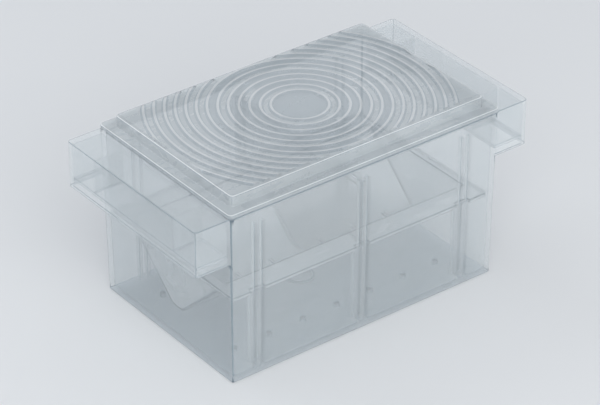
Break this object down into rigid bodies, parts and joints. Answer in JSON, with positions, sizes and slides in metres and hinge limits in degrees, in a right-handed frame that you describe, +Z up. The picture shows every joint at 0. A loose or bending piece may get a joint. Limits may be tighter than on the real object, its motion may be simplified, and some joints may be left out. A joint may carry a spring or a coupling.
{
  "type": "floating fish breeding box",
  "caption": "Clear floating tank with an air chamber on each end, a V-shaped fry tray with a slit, a lift-out divider and a lid with concentric ridges.",
  "frame": {"origin": "under the middle of the tank's floor, on the surface that the box stands on", "axes": "+X along the length from the left air chamber to the right one, +Y from the front long wall to the back one, +Z up"},
  "size_m": [0.2, 0.106, 0.1008],
  "materials": {
    "clear_shell": "clear moulded plastic, glossy",
    "clear_tray": "clear moulded plastic, glossy",
    "clear_divider": "clear moulded plastic, glossy",
    "clear_lid": "clear moulded plastic, glossy, with moulded ridges"
  },
  "bodies": {
    "tank": {"tank": "clear_shell", "float_plate_left": "clear_shell", "float_plate_right": "clear_shell"},
    "fry_tray": {"fry_tray": "clear_tray"},
    "divider": {"divider": "clear_divider"},
    "lid": {"lid": "clear_lid"}
  },
  "joints": [
    {"name": "lid_lift", "type": "slide", "parent": "tank", "child": "lid", "axis": [0, 0, 1], "range_m": [0, 0.15]},
    {"name": "divider_lift", "type": "slide", "parent": "tank", "child": "divider", "axis": [0, 0, 1], "range_m": [0, 0.12]},
    {"name": "tray_lift", "type": "slide", "parent": "tank", "child": "fry_tray", "axis": [0, 0, 1], "range_m": [0, 0.084]}
  ],
  "couplings": [
    {"joint": "divider_lift", "follows": "lid_lift", "ratio": 0.8},
    {"joint": "tray_lift", "follows": "lid_lift", "ratio": 0.56}
  ]
}
